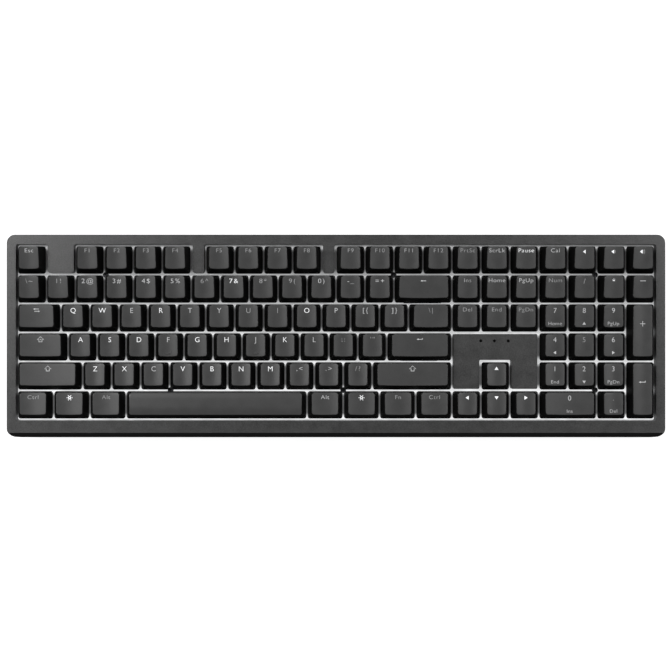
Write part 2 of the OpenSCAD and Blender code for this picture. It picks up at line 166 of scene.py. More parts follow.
def noise(tree, scale, detail, where=None):
    """Cloudy noise from 0 to 1, in the part's own space."""
    if where is None:
        where = add(tree, "TexCoord").outputs["Object"]
    return add(tree, "TexNoise", Vector=where, Scale=scale, Detail=detail).outputs["Fac"]


def blend_colour(tree, share, a, b):
    made = add(tree, "Mix", {"data_type": "RGBA"})
    for i, value in ((0, share), (6, a), (7, b)):
        feed(tree, made.inputs[i], value)
    return made.outputs[2]


def scale_colour(tree, colour, level):
    return add(tree, "VectorMath", {"operation": "SCALE"}, Vector=colour,
               Scale=level).outputs["Vector"]


def raise_bump(tree, shader, height, strength, depth_mm):
    bump = add(tree, "Bump", Height=height, Strength=strength, Distance=depth_mm * MM)
    fill(tree, shader, Normal=bump.outputs["Normal"])


def new_finish(name):
    """A new material, its nodes and its shader."""
    material = bpy.data.materials.new(name)
    material.use_nodes = True
    return material, material.node_tree, material.node_tree.nodes["Principled BSDF"]


def grey(value, tint=0.0):
    """A grey a little blue (tint above 0) or warm (below 0)."""
    return (value * (1 - tint), value, value * (1 + tint), 1)


# %% [markdown]
# ## Shared effects
#
# Several finishes share the same effects, so each effect is a node group: built once, and
# placed in each material with its own values. Groups put out only colours and masks.
#
# - `mould_grain` is the fine spark-eroded texture of an injection mould: a granular height
#   with a slight mottle in tone and gloss.
# - `edge_polish` finds the convex edges, where handling rubs the texture smooth and pale.
# - `settled_dust` is the faint bloom that lies on faces that look up.

# %% A helper that opens a node group with named sockets
def open_group(name, inputs, outputs):
    """A new group with its input and output nodes; inputs are (name, kind, value)."""
    group = bpy.data.node_groups.new(name, "ShaderNodeTree")
    for label, kind, value in inputs:
        socket = group.interface.new_socket(label, in_out="INPUT",
                                            socket_type="NodeSocket" + kind)
        socket.default_value = value
    for label, kind in outputs:
        group.interface.new_socket(label, in_out="OUTPUT", socket_type="NodeSocket" + kind)
    return group, group.nodes.new("NodeGroupInput").outputs, group.nodes.new("NodeGroupOutput")


def place_group(tree, group, **sockets):
    return add(tree, "Group", {"node_tree": group}, **sockets).outputs


# %% The mould's grain
def build_mould_grain():
    group, given, out = open_group(
        "mould_grain",
        [("Base", "Color", grey(0.1)), ("Grain Size", "Float", 0.35),
         ("Mottle", "Float", 0.2), ("Roughness", "Float", 0.5)],
        [("Colour", "Color"), ("Roughness", "Float"), ("Height", "Float")])
    where = add(group, "TexCoord").outputs["Object"]
    per_metre = mathematics(group, "DIVIDE", 1000, given["Grain Size"])
    fine = add(group, "TexNoise", Vector=where, Scale=per_metre, Detail=2.0,
               Roughness=0.6).outputs["Fac"]
    pits = add(group, "TexVoronoi", {"feature": "SMOOTH_F1"}, Vector=where,
               Scale=mathematics(group, "MULTIPLY", per_metre, 0.8)).outputs["Distance"]
    height = mathematics(group, "ADD", fine, mathematics(group, "MULTIPLY", pits, 0.5))
    speck = mathematics(group, "SUBTRACT", fine, 0.5)
    drift = mathematics(group, "SUBTRACT", noise(group, 140.0, 3.0, where), 0.5)
    tone = mathematics(group, "ADD", speck, mathematics(group, "MULTIPLY", drift, 0.5))
    tone = mathematics(group, "MULTIPLY_ADD", tone, given["Mottle"], 1.0)
    rough = mathematics(group, "MULTIPLY_ADD", drift, 0.16, given["Roughness"])
    fill(group, out, Colour=scale_colour(group, given["Base"], tone), Roughness=rough,
         Height=height)
    return group


mould_grain = build_mould_grain()
print("made group", mould_grain.name)


# %% Polished edges
def build_edge_polish():
    group, given, out = open_group(
        "edge_polish",
        [("Colour", "Color", grey(0.1)), ("Rubbed", "Color", grey(0.2)),
         ("Amount", "Float", 0.5)],
        [("Colour", "Color"), ("Mask", "Float")])
    ridge = remap(group, add(group, "NewGeometry").outputs["Pointiness"], 0.52, 0.6)
    patchy = remap(group, noise(group, 260.0, 2.0), 0.35, 0.7, 0.4)
    mask = product(group, ridge, patchy, given["Amount"])
    fill(group, out, Mask=mask,
         Colour=blend_colour(group, mask, given["Colour"], given["Rubbed"]))
    return group


edge_polish = build_edge_polish()
print("made group", edge_polish.name)


# %% Settled dust
def build_settled_dust():
    group, given, out = open_group(
        "settled_dust",
        [("Colour", "Color", grey(0.1)), ("Dust", "Color", grey(0.45, -0.04)),
         ("Amount", "Float", 0.03)],
        [("Colour", "Color"), ("Mask", "Float")])
    normal = add(group, "NewGeometry").outputs["Normal"]
    lies = remap(group, add(group, "SeparateXYZ", Vector=normal).outputs["Z"], 0.6, 1.0)
    speck = remap(group, noise(group, 2400.0, 1.0), 0.45, 0.75)
    mask = product(group, lies, noise(group, 45.0, 4.0), speck, given["Amount"])
    fill(group, out, Mask=mask,
         Colour=blend_colour(group, mask, given["Colour"], given["Dust"]))
    return group


settled_dust = build_settled_dust()
print("made group", settled_dust.name)

# %% [markdown]
# ## Moulded black plastic
#
# The case, the keycaps and the feet are all black thermoplastic out of a textured mould,
# and differ in tone, gloss and grain. One function makes such a finish from the shared
# groups, so that the parts look like one family: the grain gives tone, gloss and a bump,
# then the edges are rubbed paler, then a little dust lies on top.

# %% Moulded plastic
def plastic(name, tone, grain_mm=0.35, bump=0.12, mottle=0.25, roughness=0.5, rubbed=0.0,
            wear=0.0, dust=0.0, specular=0.5):
    material, tree, shader = new_finish(name)
    grain = place_group(tree, mould_grain, Base=grey(tone), Grain_Size=grain_mm,
                        Mottle=mottle, Roughness=roughness)
    colour = grain["Colour"]
    if wear:
        colour = place_group(tree, edge_polish, Colour=colour, Rubbed=grey(rubbed),
                             Amount=wear)["Colour"]
    if dust:
        colour = place_group(tree, settled_dust, Colour=colour, Amount=dust)["Colour"]
    fill(tree, shader, Base_Color=colour, Roughness=grain["Roughness"],
         Specular_IOR_Level=specular)
    raise_bump(tree, shader, grain["Height"], bump, grain_mm * 0.2)
    return material


case_face = plastic("case_face", 0.05, grain_mm=0.8, bump=0.3, mottle=1.5,
                    roughness=0.36, rubbed=0.06, wear=0.3, dust=0.02)
# The walls' far darker tone is painted shade; the broad faces keep the plastic's own charcoal.
case_wall = plastic("case_wall", 0.009, grain_mm=0.5, bump=0.2, roughness=0.45,
                    rubbed=0.02, wear=0.3, specular=0.2)
case_base = plastic("case_base", 0.013, grain_mm=0.5, bump=0.25, roughness=0.6,
                    rubbed=0.03, wear=0.3, specular=0.35)
foot_plastic = plastic("foot_plastic", 0.02, grain_mm=0.4, bump=0.2, roughness=0.5,
                       rubbed=0.05, wear=0.5)
print("made", len(bpy.data.materials), "finishes so far")

# %% [markdown]
# ## Keycap finishes
#
# A keycap's top is bead-blasted and a little polished by fingers in the middle of its
# dish. Its walls have a finer grain and a much darker tone, which is painted shade, so
# that they hardly catch the light. The polish needs to know where it is on each key, and
# each keycap's mesh carries that as a map called `key_map` which runs from 0 to 1 over
# the top.

# %% Keycap finishes
FINGER_SPOT = (0.5, 0.45, 0)
POLISH = -0.05


def build_cap_top():
    material = plastic("cap_top", 0.057, grain_mm=0.4, bump=0.1, mottle=0.5,
                       roughness=0.38, rubbed=0.075, wear=0.3, dust=0.02)
    tree = material.node_tree
    shader = tree.nodes["Principled BSDF"]
    place = add(tree, "UVMap", {"uv_map": "key_map"}).outputs["UV"]
    away = add(tree, "VectorMath", {"operation": "DISTANCE"}, Vector=place)
    feed(tree, away.inputs[1], FINGER_SPOT)
    touched = remap(tree, away.outputs["Value"], 0.5, 0.1, curve="SMOOTHSTEP")
    grain_rough = shader.inputs["Roughness"].links[0].from_socket
    fill(tree, shader,
         Roughness=mathematics(tree, "MULTIPLY_ADD", touched, POLISH, grain_rough))
    return material


cap_top = build_cap_top()
# The walls' far darker tone is painted shade.
cap_wall = plastic("cap_wall", 0.004, grain_mm=0.3, bump=0.08, roughness=0.55,
                   specular=0.15)
cap_inside = plastic("cap_inside", 0.01, grain_mm=0.4, bump=0.05, roughness=0.6,
                     specular=0.2)
print("keycap finishes:", cap_top.name, cap_wall.name, cap_inside.name)

# %% [markdown]
# ## Lit legends
#
# The legends are clear plastic that the lamps under the keys shine through. How bright one
# looks depends on how it sits over its lamp, so there are three strengths. The light
# falls off a little from the back of the key, where the lamp is, to its front, which a
# cloudy noise stands for.

# %% Legend finishes
# A legend's glow is painted light: an emission standing for the lamps under the keys.
def lit_legend(name, strength, low=0.75):
    material, tree, shader = new_finish(name)
    level = remap(tree, noise(tree, 320.0, 1.0), 0.35, 0.65, low)
    fill(tree, shader, Base_Color=blend_colour(tree, level, grey(0.15), grey(0.25)),
         Emission_Color=scale_colour(tree, (0.97, 0.985, 1.0), level),
         Emission_Strength=strength, Roughness=0.35)
    return material


LEGENDS = {"bright": lit_legend("legend_bright", 1.0),
           "even": lit_legend("legend_even", 0.42),
           "dim": lit_legend("legend_dim", 0.2, low=0.6)}
print("legend finishes:", ", ".join(LEGENDS))

# %% [markdown]
# ## The white plate
#
# The steel plate is powder-coated white so that it throws the lamps' light up between the
# keycaps. The lamps under it give no light, so that light is painted on the plate as a
# glow: it glows most along the gap behind each row and less between the keys of a row,
# and the front rows let more light out than the back ones. The pattern repeats with the
# key pitch, so the shader works out its distance from the nearest gap with a ping-pong.
# Outside the rows, under the case, the glow is weak.

# %% The white plate
def build_plate_painted_glow():
    material, tree, shader = new_finish("plate_white")
    where = add(tree, "TexCoord").outputs["Object"]
    on_deck = add(tree, "Mapping", {"vector_type": "TEXTURE"}, Vector=where,
                  Location=DECK_MIDDLE, Rotation=(DECK_TILT, 0, 0))
    across = add(tree, "SeparateXYZ", Vector=on_deck.outputs["Vector"]).outputs["Y"]
    rows_up = mathematics(tree, "DIVIDE", across, PITCH * MM)
    half = ROWS / 2
    from_gap = mathematics(tree, "PINGPONG", rows_up, 0.5)
    gap_glow = remap(tree, from_gap, 0.03, 0.22, 1.0, 0.1, curve="SMOOTHSTEP")
    row_gain = remap(tree, rows_up, -half, half, 0.95, 0.24)
    outer = remap(tree, mathematics(tree, "ABSOLUTE", rows_up), half, half + 0.05, 1.0, 0.35)
    cloud = remap(tree, noise(tree, 90.0, 2.0, where), 0.3, 0.7, 0.75, 1.1)
    # The painted glow: how strongly the plate gives off the lamps' light at each place.
    level = product(tree, gap_glow, row_gain, outer, cloud)
    orange_peel = noise(tree, 1400.0, 2.0, where)
    fill(tree, shader, Base_Color=blend_colour(tree, orange_peel, grey(0.5), grey(0.6)),
         Emission_Color=scale_colour(tree, (0.98, 0.99, 1.0), level), Emission_Strength=1.0,
         Roughness=remap(tree, orange_peel, 0, 1, 0.3, 0.5))
    raise_bump(tree, shader, orange_peel, 0.2, 0.05)
    return material


plate_white = build_plate_painted_glow()
print("made", plate_white.name)

# %% [markdown]
# ## Metals, rubber, board and lamps
#
# Inside the keyboard are a few more finishes: drawn steel and brass with fine scratches
# along the part, black rubber, the green lacquer of the circuit board with its copper
# tracks showing through, and the pale resin of the lamps.

# %% Metal with fine scratches
def metal(name, colour, roughness, stretch):
    material, tree, shader = new_finish(name)
    where = add(tree, "TexCoord").outputs["Object"]
    drawn = add(tree, "Mapping", Vector=where, Scale=stretch).outputs["Vector"]
    scratch = noise(tree, 1500.0, 3.0, drawn)
    worn = [c * 0.8 for c in colour]
    fill(tree, shader, Base_Color=blend_colour(tree, scratch, (*worn, 1), (*colour, 1)),
         Metallic=1.0,
         Roughness=remap(tree, scratch, 0, 1, roughness * 0.7, roughness * 1.3))
    raise_bump(tree, shader, scratch, 0.1, 0.02)
    return material


screw_steel = metal("screw_steel", (0.55, 0.56, 0.58), 0.3, (1, 1, 1))
spring_steel = metal("spring_steel", (0.62, 0.62, 0.6), 0.25, (1, 1, 6))
dark_steel = metal("blackened_steel", (0.06, 0.06, 0.065), 0.45, (1, 1, 1))
wire_steel = metal("wire_steel", (0.6, 0.6, 0.62), 0.22, (0.05, 1, 1))
socket_steel = metal("socket_steel", (0.6, 0.6, 0.61), 0.28, (1, 0.1, 1))
brass = metal("contact_brass", (0.8, 0.58, 0.27), 0.25, (1, 1, 0.2))
print("metals:", ", ".join(m.name for m in (screw_steel, spring_steel, dark_steel,
                                            wire_steel, socket_steel, brass)))


# %% Circuit board lacquer with tracks
def build_board_green():
    material, tree, shader = new_finish("board_green")
    where = add(tree, "TexCoord").outputs["Object"]
    tracks = add(tree, "TexBrick", {"offset": 0.37, "squash": 1.0}, Vector=where,
                 Scale=90.0, Mortar_Size=0.03, Mortar_Smooth=0.1).outputs["Fac"]
    weave = noise(tree, 900.0, 2.0, where)
    lacquer = blend_colour(tree, weave, (0.008, 0.045, 0.02, 1), (0.012, 0.06, 0.028, 1))
    fill(tree, shader, Base_Color=blend_colour(tree, tracks, lacquer, (0.03, 0.13, 0.05, 1)),
         Roughness=remap(tree, weave, 0, 1, 0.25, 0.4))
    raise_bump(tree, shader, tracks, 0.3, 0.04)
    return material


board_green = build_board_green()
switch_black = plastic("switch_black", 0.012, grain_mm=0.5, bump=0.1, roughness=0.45)
chip_black = plastic("chip_black", 0.018, grain_mm=0.2, bump=0.3, roughness=0.65)
rubber = plastic("rubber", 0.012, grain_mm=0.8, bump=0.5, roughness=0.85, specular=0.3)
lamp_resin = plastic("lamp_resin", 0.7, grain_mm=0.6, bump=0.05, mottle=0.1,
                     roughness=0.3)
indicator_lens = plastic("indicator_lens", 0.004, grain_mm=0.4, bump=0.1, roughness=0.4,
                         specular=0.1)
print("made", board_green.name, switch_black.name, chip_black.name, rubber.name)


# %% Milky clear plastic of the switch tops
def build_switch_clear():
    material, tree, shader = new_finish("switch_clear")
    cloud = noise(tree, 400.0, 2.0)
    fill(tree, shader,
         Base_Color=blend_colour(tree, cloud, grey(0.55, 0.02), grey(0.7, 0.02)),
         Roughness=remap(tree, cloud, 0, 1, 0.15, 0.35), Subsurface_Weight=0.3,
         Subsurface_Radius=(0.002, 0.002, 0.002), Subsurface_Scale=1.0)
    raise_bump(tree, shader, cloud, 0.1, 0.05)
    return material


switch_clear = build_switch_clear()
print("made", switch_clear.name)

# %% [markdown]
# ## Finishes for the parts that keep their shape
#
# Parts whose shape the design already has right stay as they are, and only take a finish:
# their material slots are filled with it, and nothing in their mesh is touched.

# %% Finish the inner parts
def clothe(piece, *finishes):
    piece.data.materials.clear()
    for finish in finishes:
        piece.data.materials.append(finish)


INNER = {
    "switch_plate": plate_white, "circuit_board": board_green,
    "switch_bases": switch_black, "switch_covers": switch_clear,
    "switch_springs": spring_steel, "switch_contacts": brass,
    "backlight_leds": lamp_resin, "stabiliser_housings": switch_black,
    "stabiliser_wires": wire_steel, "indicator_leds": indicator_lens,
    "controller_chips": chip_black, "usb_port": socket_steel, "case_screws": screw_steel,
    "plate_screws": dark_steel, "rubber_pads": rubber,
    "foot_tip_left": rubber, "foot_tip_right": rubber,
}
for name, finish in INNER.items():
    clothe(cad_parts[name], finish)
print("finished", len(INNER), "parts in place")

# %% [markdown]
# ## Softened case parts
#
# A moulded shell has no sharp edges: a radius runs round its top, a smaller one round
# the opening for the keys. The design model has these edges square. A copy of its mesh is
# merged and cleaned of the triangles inside flat faces, the edges that show are marked
# with a weight, and a bevel rounds them. Only edges that show are marked, so the ribs,
# screw posts and hooks inside stay exactly as designed.

# %% A copy of a designed part, ready for work
WELD = 2e-6
FLAT = math.radians(0.4)
BENT = math.radians(30)


def welded(node):
    """The designed part's shape with its corners merged."""
    shape = bmesh.new()
    shape.from_mesh(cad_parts[node].data)
    bmesh.ops.remove_doubles(shape, verts=shape.verts, dist=WELD)
    return shape


def as_piece(shape, name):
    mesh = bpy.data.meshes.new(name)
    shape.to_mesh(mesh)
    shape.free()
    return new_object(name, mesh)


def copy_of(node, name):
    """A new piece with the part's shape and clean flat faces."""
    shape = welded(node)
    bmesh.ops.dissolve_limit(shape, angle_limit=FLAT, verts=shape.verts, edges=shape.edges)
    return as_piece(shape, name)


def smooth_faces(piece, sharp=35):
    """Smooth shading that breaks at edges sharper than an angle, led by the large faces."""
    shape = bmesh.new()
    shape.from_mesh(piece.data)
    for face in shape.faces:
        face.smooth = True
    for edge in shape.edges:
        edge.smooth = edge.calc_face_angle(math.pi) < math.radians(sharp)
    shape.to_mesh(piece.data)
    shape.free()
    led = piece.modifiers.new("led_by_faces", "WEIGHTED_NORMAL")
    led.keep_sharp = True


def soften(piece, weigh, width_mm, segments=3):
    """Rounds the bent edges to which weigh(middle on the deck, edge) gives a weight."""
    shape = bmesh.new()
    shape.from_mesh(piece.data)
    layer = shape.edges.layers.float.new("bevel_weight_edge")
    count = 0
    for edge in shape.edges:
        if edge.calc_face_angle(0) > BENT:
            middle = to_deck @ ((edge.verts[0].co + edge.verts[1].co) / 2)
            edge[layer] = weigh(middle, edge)
            count += edge[layer] > 0
    shape.to_mesh(piece.data)
    shape.free()
    bevel = piece.modifiers.new("rounded", "BEVEL")
    bevel.limit_method = "WEIGHT"
    bevel.width = width_mm * MM
    bevel.segments = segments
    bevel.miter_outer = "MITER_ARC"
    with_bevel = bpy.data.meshes.new_from_object(
        piece.evaluated_get(bpy.context.evaluated_depsgraph_get()))
    with_bevel.name = piece.name
    piece.modifiers.remove(bevel)
    piece.data = with_bevel
    return count


# %% [markdown]
# ## Upper case shell
#
# The upper shell is a picture frame round the keys. Its broad face is textured and
# charcoal. Its outer walls and the short walls inside the opening take a much darker copy
# of the same plastic, which is painted shade; which finish a face takes depends on how it
# faces the deck. The outer rim gets a radius of 0.9 mm, the nose half of that, and the rim
# of the opening a third. The broad finish also runs over the upper part of the rounded rims.

# %% Upper case shell
RIM = 7.0
RIM_ROUND = 0.9
OUTER_X, OUTER_Y = 213.5, 61
LEVEL = 0.75


def part_finishes(piece):
    """Faces that look along the deck's normal keep the first finish; the rest take the second,
    darker one, which is painted shade.
    """
    for face in piece.data.polygons:
        face.material_index = 0 if face.normal.dot(deck_normal) > LEVEL else 1


def at_rim(middle, edge):
    return abs(middle.z - RIM) <= 0.05


def rim_weight(middle, edge):
    if not at_rim(middle, edge):
        return 0
    if middle.y < -OUTER_Y:
        return 0.5
    return 1 if abs(middle.x) > OUTER_X or middle.y > OUTER_Y else 0.35


def rebuild(node, name, body, weigh, width_mm, segments=3, finishes=(case_base,)):
    """Puts a softened copy in the place of a designed part."""
    piece = copy_of(node, name)
    print("rounded", soften(piece, weigh, width_mm, segments), "edges of", name)
    clothe(piece, *finishes)
    if len(finishes) > 1:
        part_finishes(piece)
    smooth_faces(piece)
    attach(piece, body)
    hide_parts(node)


rebuild("top_case", "case_upper", "case", rim_weight, RIM_ROUND,
        finishes=(case_face, case_wall))

# %% [markdown]
# ## Lower case shell, cover plate and feet
#
# The lower shell closes the case from below. The small cover between the letter keys and
# the number pad fills the space round the up arrow, and carries three tiny indicator
# holes. The feet fold out at the back. They get the same treatment, with smaller radii.

# %% Lower shell, cover and feet
PAD_RISE = 1.0
SMALL_ROUND, THIN_ROUND = 0.5, 0.3


def low_rim_weight(middle, edge):
    """The edges of the case's floor, which the pads hold over the desk."""
    return 1 if all(abs(v.co.z / MM - PAD_RISE) < 0.05 for v in edge.verts) else 0


rebuild("bottom_case", "case_lower", "case", low_rim_weight, SMALL_ROUND)
rebuild("indicator_cover", "cover_plate", "case", at_rim, THIN_ROUND,
        finishes=(case_face, case_wall))
for side in ("left", "right"):
    rebuild("foot_" + side, "folding_foot_" + side, "foot_" + side,
            lambda middle, edge: 1, THIN_ROUND, segments=2, finishes=(foot_plastic,))

# %% [markdown]
# ## The layout
#
# Each row is a list of keys: the keycap's name, the body that it moves with, its width in
# key pitches, its height in rows, and what is written on it. Keys that are alike share a
# body. A gap has no name. A second legend is the small one near the front edge.

# %% The layout
def key(name, body, legend="", second="", width=1.0, height=1):
    return {"name": name, "body": body, "legend": legend, "second": second,
            "width": width, "height": height}


def gap(width):
    return {"name": "", "width": width}


def letters(word):
    return [key(c, "key_" + c, c.upper()) for c in word]


def alike(body, *pairs):
    return [key(name, body, legend) for name, legend in pairs]


def f_keys(first, last):
    return alike("function_keys", *[(f"f{i}", f"F{i}") for i in range(first, last + 1)])


PAD = "numpad_keys"
NAV = "navigation_keys"
MOD = "modifier_keys"
LAYOUT = [
    [key("escape", "escape_key", "Esc"), gap(1), *f_keys(1, 4), gap(0.5), *f_keys(5, 8),
     gap(0.5), *f_keys(9, 12),
     *alike(NAV, ("print_screen", "PrtSc"), ("scroll_lock", "ScrLk"), ("pause", "Pause")),
     *alike("media_keys", ("calculator", "Cal"), ("mute", "<speaker>"),
            ("softer", "<speaker1>"), ("louder", "<speaker2>"))],
    [*alike("number_keys", ("tilde", "\\~"), ("one", "1!"), ("two", "2@"),
            ("three", "3#"), ("four", "4$"), ("five", "5%"), ("six", "6^"),
            ("seven", "7&"), ("eight", "8*"), ("nine", "9("), ("zero", "0)"),
            ("hyphen", "-_"), ("equals", "=+")),
     key("backspace", "backspace_key", "<back>", width=2),
     *alike(NAV, ("insert", "Ins"), ("home", "Home"), ("page_up", "PgUp")),
     *alike(PAD, ("num_lock", "Num"), ("pad_slash", "/"), ("pad_star", "*"),
            ("pad_minus", "<minus>"))],
    [key("tab", MOD, "<tab>", width=1.5), *letters("qwertyuiop"),
     *alike("punctuation_keys", ("bracket_left", "[{"), ("bracket_right", "]}")),
     key("backslash", "punctuation_keys", "\\|", width=1.5),
     *alike(NAV, ("delete", "Del"), ("end", "End"), ("page_down", "PgDn")),
     key("pad_7", PAD, "7", "Home"), key("pad_8", PAD, "8", "<up>"),
     key("pad_9", PAD, "9", "PgUp"), key("pad_plus", PAD, "<plus>", height=2)],
    [key("caps_lock", MOD, "<caps>", width=1.75), *letters("asdfghjkl"),
     *alike("punctuation_keys", ("semicolon", ";:"), ("quote", "'\"")),
     key("enter", "enter_key", "<enter>", width=2.25), gap(3),
     key("pad_4", PAD, "4", "<left>"), key("pad_5", PAD, "5"),
     key("pad_6", PAD, "6", "<right>")],
    [key("shift_left", MOD, "<shift>", width=2.25), *letters("zxcvbnm"),
     *alike("punctuation_keys", ("comma", ",<"), ("full_stop", ".>"), ("slash", "/?")),
     key("shift_right", MOD, "<shift>", width=2.75), gap(1),
     key("arrow_up", "arrow_keys", "<up>"), gap(1), key("pad_1", PAD, "1", "End"),
     key("pad_2", PAD, "2", "<down>"), key("pad_3", PAD, "3", "PgDn"),
     key("pad_enter", PAD, "<return>", height=2)],
    [key("ctrl_left", MOD, "Ctrl", width=1.25), key("menu_left", MOD, "<ring>", width=1.25),
     key("alt_left", MOD, "Alt", width=1.25), key("space", "space_bar", width=6.25),
     key("alt_right", MOD, "Alt", width=1.25), key("menu_right", MOD, "<ring>", width=1.25),
     key("fn", MOD, "Fn", width=1.25), key("ctrl_right", MOD, "Ctrl", width=1.25),
     key("arrow_left", "arrow_keys", "<left>"), key("arrow_down", "arrow_keys", "<down>"),
     key("arrow_right", "arrow_keys", "<right>"), key("pad_0", PAD, "0", "Ins", width=2),
     key("pad_point", PAD, ".", "Del")],
]
KEYS = []
for r, row in enumerate(LAYOUT):
    at = 0
    for k in row:
        if k["name"]:
            k.update(row=r, x=column_x(at + k["width"] / 2), y=row_y(r + k["height"] / 2))
            KEYS.append(k)
        at += k["width"]
print(len(KEYS), "keys in", ROWS, "rows")

# %% [markdown]
# ## The form of a keycap
#
# A keycap is a hollow tapered box. Its four walls lean in, the front one most, its corners
# are round, and its top is dished from side to side to centre the fingertip. The rows
# differ in height and in the slope of the top, which makes the keyboard's stepped profile.
# The space bar is crowned instead of dished, because thumbs strike its edge.
#
# The mesh could be a box with modifiers, but then the rounding can't follow the dish. Here
# each point is worked out instead: `sides` gives the walls at a height, and `top` the
# surface's height at a place. The numbers are those of the designed caps. Each row has the
# height of its front and of its back.

# %% The form of a keycap
GAP = 0.95
SKIRT = 6.0
SIDE_LEAN, FRONT_LEAN, BACK_LEAN = 2.65, 2.9, 0.6
CAP_HEIGHTS = [(8.6, 10), (8.6, 9.8), (8, 8.8), (7.8, 8.2), (8.2, 7.9), (8.6, 8.2)]
DISH = 0.8
LAND = 0.35
CROWN_RADIUS = 34
WALL = 1.3
CEILING = 1.6
EDGE_ROUND = 0.6


class CapForm:
    """The outer form of one keycap in millimetres, over the middle of its skirt."""

    def __init__(self, width, height, row):
        self.x = (width * PITCH - GAP) / 2
        self.y = (height * PITCH - GAP) / 2
        self.front, self.back = CAP_HEIGHTS[row]
        self.tall = max(self.front, self.back)
        self.ceiling = min(self.front, self.back) - CEILING
        self.crowned = width > 6
        chord = self.x - SIDE_LEAN - LAND
        self.radius = (chord ** 2 + DISH ** 2) / (2 * DISH)
        self.top_front = FRONT_LEAN - self.y
        self.top_back = self.y - BACK_LEAN

    def sides(self, z, inset=0.0):
        """Half width, front edge and back edge at a height."""
        return (self.x - SIDE_LEAN * z / self.tall - inset,
                FRONT_LEAN * z / self.front - self.y + inset,
                self.y - BACK_LEAN * z / self.back - inset)

    def top(self, x, y):
        """Height of the top face at a place."""
        slope = (self.back - self.front) / (self.top_back - self.top_front)
        plane = self.front + slope * (y - self.top_front)
        if self.crowned:
            over = y - (FRONT_LEAN - BACK_LEAN) / 2
            return min(plane, self.front - CROWN_RADIUS
                       + math.sqrt(CROWN_RADIUS ** 2 - over ** 2))
        if abs(x) >= self.radius:
            return plane
        dished = plane + self.radius - DISH - math.sqrt(self.radius ** 2 - x * x)
        return min(plane, dished)


letter = CapForm(1, 1, 2)
print("a letter key is", round(2 * letter.x, 2), "mm wide and", round(letter.top(0, 0), 2),
      "mm high in its dish")

# %% [markdown]
# ## Meshing a keycap
#
# The rim of the cap is a ring of points, with a few on each round corner. The same ring is
# used at every height: outside from the skirt to the rounded top edge, and inside from the
# skirt's lip up to the ceiling. Across the top, a grid joins the front points of the ring
# to its back points, so that the dish is made of even four-sided faces.

# %% The ring of a keycap
ARC = 5
ROUND_STEPS = 4
LONG = 15


def grid_of(form):
    """How many columns and levels the cap's grid has; a long side has more."""
    return 2 * ARC + (10 if form.x < LONG else 18), 8 if form.y < LONG else 16


def rim_place(form, column, level, z, inset=0.0, corner=1.5):
    """Where a point of the rim lies, given its column and level in the grid."""
    columns, levels = grid_of(form)
    half, front, back = form.sides(z, inset)
    corner = max(0.3, corner - 0.5 * inset)

    def along(c):
        """How far a column lies from the side wall, and how far its ends pull in."""
        if c <= ARC:
            turn = math.radians(90 * c / ARC)
            return corner * (1 - math.cos(turn)), corner * (1 - math.sin(turn))
        return corner + (c - ARC) / (columns - 2 * ARC) * (2 * half - 2 * corner), 0.0

    if column <= columns / 2:
        off, pull = along(column)
        x = off - half
    else:
        off, pull = along(columns - column)
        x = half - off
    share = level / levels
    return x, (front + pull) * (1 - share) + (back - pull) * share


def rim_points(columns, levels):
    """The rim's grid places in order: front, right side, back and left side."""
    front = [(c, 0) for c in range(columns + 1)]
    right = [(columns, v) for v in range(1, levels)]
    back = [(c, levels) for c in range(columns, -1, -1)]
    left = [(0, v) for v in range(levels - 1, 0, -1)]
    return front + right + back + left


# %% The mesh of a keycap
TOP_FACE, SHADED_WALL_FACE, INSIDE_FACE = 0, 1, 2
INNER_CORNER = 1.2
LIP = 0.15


